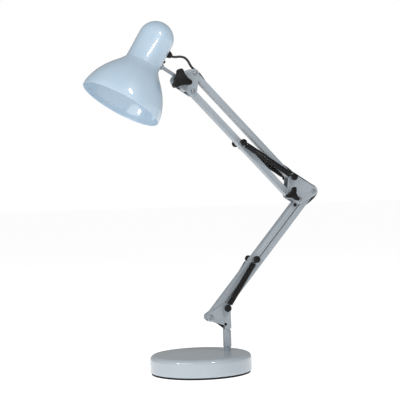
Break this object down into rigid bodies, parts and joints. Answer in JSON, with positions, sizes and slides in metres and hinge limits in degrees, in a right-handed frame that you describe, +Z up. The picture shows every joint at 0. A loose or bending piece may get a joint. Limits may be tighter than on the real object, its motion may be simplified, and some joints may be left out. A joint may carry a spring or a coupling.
{
  "type": "swing arm desk lamp",
  "caption": "Swing arm desk lamp with a weighted round base, sprung double-bar arms, clamping elbow and tilting bell shade in pale blue-grey enamel",
  "frame": {"origin": "centre of the underside of the round base, which stands on the table", "axes": "+Z up; the arms swing in the XZ plane, the elbow points to +X and the shade hangs towards -X; the viewer of the knobs is on -Y"},
  "size_m": [0.4151, 0.2526, 0.5853],
  "materials": {
    "paint": "gloss pale blue-grey enamel",
    "arm_paint": "semi-gloss grey enamel",
    "steel": "bright zinc plate",
    "spring_steel": "black oiled spring wire",
    "black_plastic": "black moulded plastic",
    "iron": "rough grey casting",
    "rubber": "black, matte",
    "ceramic": "glazed white",
    "glass": "opal white"
  },
  "bodies": {
    "base": {"base_cover": "paint", "base_weight": "iron", "base_floor_plate": "steel", "base_pad": "rubber", "post_socket": "steel", "base_screw_1": "steel", "base_screw_2": "steel", "base_screw_3": "steel", "lead_relief": "black_plastic", "base_lead": "rubber", "mains_lead": "rubber", "mains_coil": "rubber", "coil_tie": "black_plastic", "mains_plug": "black_plastic", "plug_lead": "rubber"},
    "post": {"post_stem": "arm_paint", "lower_fork": "arm_paint", "front_foot_rivet": "steel", "rear_foot_pin": "steel", "rear_foot_cap_near": "black_plastic", "rear_foot_cap_far": "black_plastic", "post_lead": "rubber", "lower_spring_near": "spring_steel", "lower_spring_far": "spring_steel"},
    "lower_front_arm": {"lower_front_bar": "arm_paint", "arm_stop_bolt": "black_plastic", "front_bar_pin": "steel", "front_bar_cap_near": "black_plastic", "front_bar_cap_far": "black_plastic"},
    "lower_rear_arm": {"lower_rear_bar": "arm_paint", "rear_bar_lead": "rubber"},
    "elbow": {"elbow_bracket": "arm_paint", "elbow_rear_rivet": "steel", "elbow_front_rivet": "steel", "shoulder_pin": "steel", "shoulder_cap_near": "black_plastic", "shoulder_cap_far": "black_plastic", "elbow_knob_bolt": "steel", "elbow_lead": "rubber", "upper_spring_near": "spring_steel", "upper_spring_far": "spring_steel"},
    "elbow_clamp": {"elbow_knob": "black_plastic"},
    "top_arm": {"top_bar": "arm_paint", "top_bar_lead": "rubber"},
    "bottom_arm": {"bottom_bar": "arm_paint", "bottom_bar_pin": "steel", "bottom_bar_cap_near": "black_plastic", "bottom_bar_cap_far": "black_plastic"},
    "head_link": {"head_bracket": "arm_paint", "head_top_rivet": "steel", "head_bottom_rivet": "steel", "head_knob_bolt": "steel", "head_lead": "rubber"},
    "head_clamp": {"head_knob": "black_plastic"},
    "head": {"shade": "paint", "head_knuckle": "arm_paint", "lamp_holder": "ceramic", "holder_screw": "black_plastic", "bulb": "glass", "shade_grommet": "black_plastic"}
  },
  "joints": [
    {"name": "base_swivel", "type": "hinge", "parent": "base", "child": "post", "pos_m": [0.049, 0, 0.043], "axis": [0, 0, 1], "range_deg": [-170, 170]},
    {"name": "lower_arm", "type": "hinge", "parent": "post", "child": "lower_rear_arm", "pos_m": [0.045, 0, 0.1053], "axis": [0, -1, 0], "range_deg": [0, 45], "deforming": ["lower_spring_near", "lower_spring_far", "post_lead"]},
    {"name": "lower_front_link", "type": "hinge", "parent": "post", "child": "lower_front_arm", "pos_m": [0.0175, 0, 0.0918], "axis": [0, -1, 0], "range_deg": [0, 45]},
    {"name": "elbow_level", "type": "hinge", "parent": "lower_rear_arm", "child": "elbow", "pos_m": [0.21764, 0, 0.29703], "axis": [0, -1, 0], "range_deg": [-45, 0], "deforming": ["elbow_lead"]},
    {"name": "upper_arm", "type": "hinge", "parent": "elbow", "child": "top_arm", "pos_m": [0.17694, 0, 0.32253], "axis": [0, 1, 0], "range_deg": [-50, 22], "deforming": ["upper_spring_near", "upper_spring_far"]},
    {"name": "upper_bottom_link", "type": "hinge", "parent": "elbow", "child": "bottom_arm", "pos_m": [0.17234, 0, 0.29193], "axis": [0, 1, 0], "range_deg": [-50, 22]},
    {"name": "head_level", "type": "hinge", "parent": "top_arm", "child": "head_link", "pos_m": [0.00311, 0, 0.49942], "axis": [0, 1, 0], "range_deg": [-22, 50], "deforming": ["head_lead"]},
    {"name": "head_tilt", "type": "hinge", "parent": "head_link", "child": "head", "pos_m": [-0.02649, 0, 0.48722], "axis": [0, 1, 0], "range_deg": [-45, 70]},
    {"name": "elbow_knob_turn", "type": "hinge", "parent": "elbow", "child": "elbow_clamp", "pos_m": [0.17234, -0.016, 0.29193], "axis": [0, 1, 0], "range_deg": [-180, 180]},
    {"name": "head_knob_turn", "type": "hinge", "parent": "head_link", "child": "head_clamp", "pos_m": [-0.02649, -0.016, 0.48722], "axis": [0, 1, 0], "range_deg": [-180, 180]}
  ],
  "couplings": [
    {"joint": "lower_front_link", "follows": "lower_arm", "ratio": 1},
    {"joint": "elbow_level", "follows": "lower_arm", "ratio": -1},
    {"joint": "upper_bottom_link", "follows": "upper_arm", "ratio": 1},
    {"joint": "head_level", "follows": "upper_arm", "ratio": -1}
  ]
}
